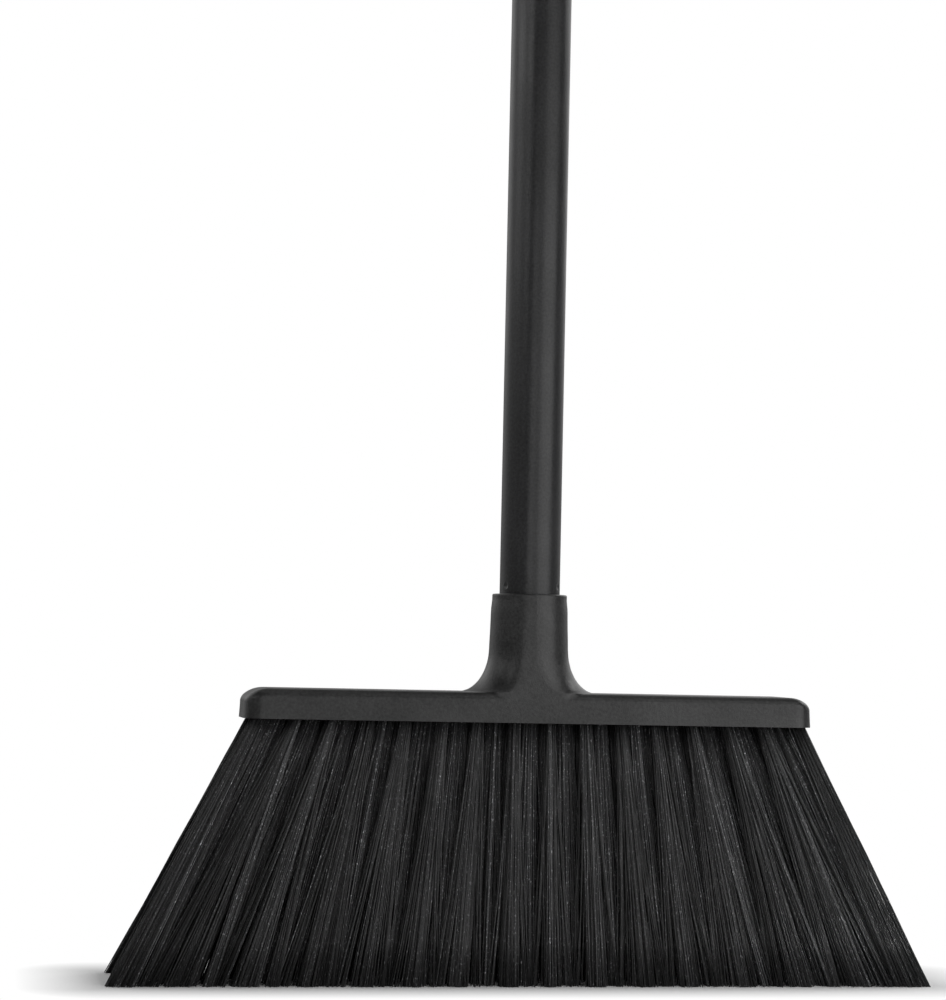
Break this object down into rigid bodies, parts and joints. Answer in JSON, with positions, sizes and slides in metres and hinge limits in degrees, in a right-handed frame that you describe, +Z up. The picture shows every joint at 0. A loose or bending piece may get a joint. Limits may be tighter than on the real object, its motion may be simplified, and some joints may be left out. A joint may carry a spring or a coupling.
{
  "type": "broom",
  "caption": "Upright broom: a moulded socket head with a flared skirt of stiff bristles, and a straight tube handle in screwed sections with a rubber grip and domed end cap.",
  "frame": {"origin": "on the floor at the centre of the bristle tips, under the handle's axis", "axes": "+Z up along the handle, +X along the head's length, -Y towards the front"},
  "size_m": [0.302, 0.046, 1.3765],
  "materials": {
    "head_plastic": "satin",
    "bristle": "satin",
    "anchor_steel": "satin",
    "tube_coat": "satin",
    "screw_plastic": "satin",
    "taper_plastic": "satin",
    "grip_rubber": "matte",
    "cap_plastic": "satin"
  },
  "bodies": {
    "head": {"head_block": "head_plastic", "tuft_anchors": "anchor_steel", "bristle_row_1": "bristle", "bristle_row_2": "bristle", "bristle_row_3": "bristle", "bristle_row_4": "bristle"},
    "section_1": {"handle_tube_1": "tube_coat", "taper_plug": "taper_plastic", "thread_nut_1": "screw_plastic"},
    "collar_2": {"stop_collar_2": "screw_plastic"},
    "section_2": {"handle_tube_2": "tube_coat", "thread_plug_2": "screw_plastic", "thread_nut_2": "screw_plastic"},
    "collar_3": {"stop_collar_3": "screw_plastic"},
    "section_3": {"handle_tube_3": "tube_coat", "thread_plug_3": "screw_plastic", "thread_nut_3": "screw_plastic"},
    "collar_4": {"stop_collar_4": "screw_plastic"},
    "section_4": {"handle_tube_4": "tube_coat", "thread_plug_4": "screw_plastic", "thread_nut_4": "screw_plastic"},
    "collar_5": {"stop_collar_5": "screw_plastic"},
    "section_5": {"handle_tube_5": "tube_coat", "thread_plug_5": "screw_plastic", "hand_grip": "grip_rubber", "end_cap": "cap_plastic"}
  },
  "joints": [
    {"name": "handle_pull", "type": "slide", "parent": "head", "child": "section_1", "axis": [0, 0, 1], "range_m": [0, 0.04]},
    {"name": "section_2_rise", "type": "slide", "parent": "section_1", "child": "collar_2", "axis": [0, 0, 1], "range_m": [0, 0.021]},
    {"name": "section_2_turn", "type": "hinge", "parent": "collar_2", "child": "section_2", "pos_m": [0, 0, 0.4], "axis": [0, 0, 1], "range_deg": [0, 2520]},
    {"name": "section_3_rise", "type": "slide", "parent": "section_2", "child": "collar_3", "axis": [0, 0, 1], "range_m": [0, 0.021]},
    {"name": "section_3_turn", "type": "hinge", "parent": "collar_3", "child": "section_3", "pos_m": [0, 0, 0.4], "axis": [0, 0, 1], "range_deg": [0, 2520]},
    {"name": "section_4_rise", "type": "slide", "parent": "section_3", "child": "collar_4", "axis": [0, 0, 1], "range_m": [0, 0.021]},
    {"name": "section_4_turn", "type": "hinge", "parent": "collar_4", "child": "section_4", "pos_m": [0, 0, 0.4], "axis": [0, 0, 1], "range_deg": [0, 2520]},
    {"name": "section_5_rise", "type": "slide", "parent": "section_4", "child": "collar_5", "axis": [0, 0, 1], "range_m": [0, 0.021]},
    {"name": "section_5_turn", "type": "hinge", "parent": "collar_5", "child": "section_5", "pos_m": [0, 0, 0.4], "axis": [0, 0, 1], "range_deg": [0, 2520]}
  ],
  "couplings": [
    {"joint": "section_2_turn", "follows": "section_2_rise", "rad_per_m": 2094.4},
    {"joint": "section_3_turn", "follows": "section_3_rise", "rad_per_m": 2094.4},
    {"joint": "section_4_turn", "follows": "section_4_rise", "rad_per_m": 2094.4},
    {"joint": "section_5_turn", "follows": "section_5_rise", "rad_per_m": 2094.4}
  ]
}
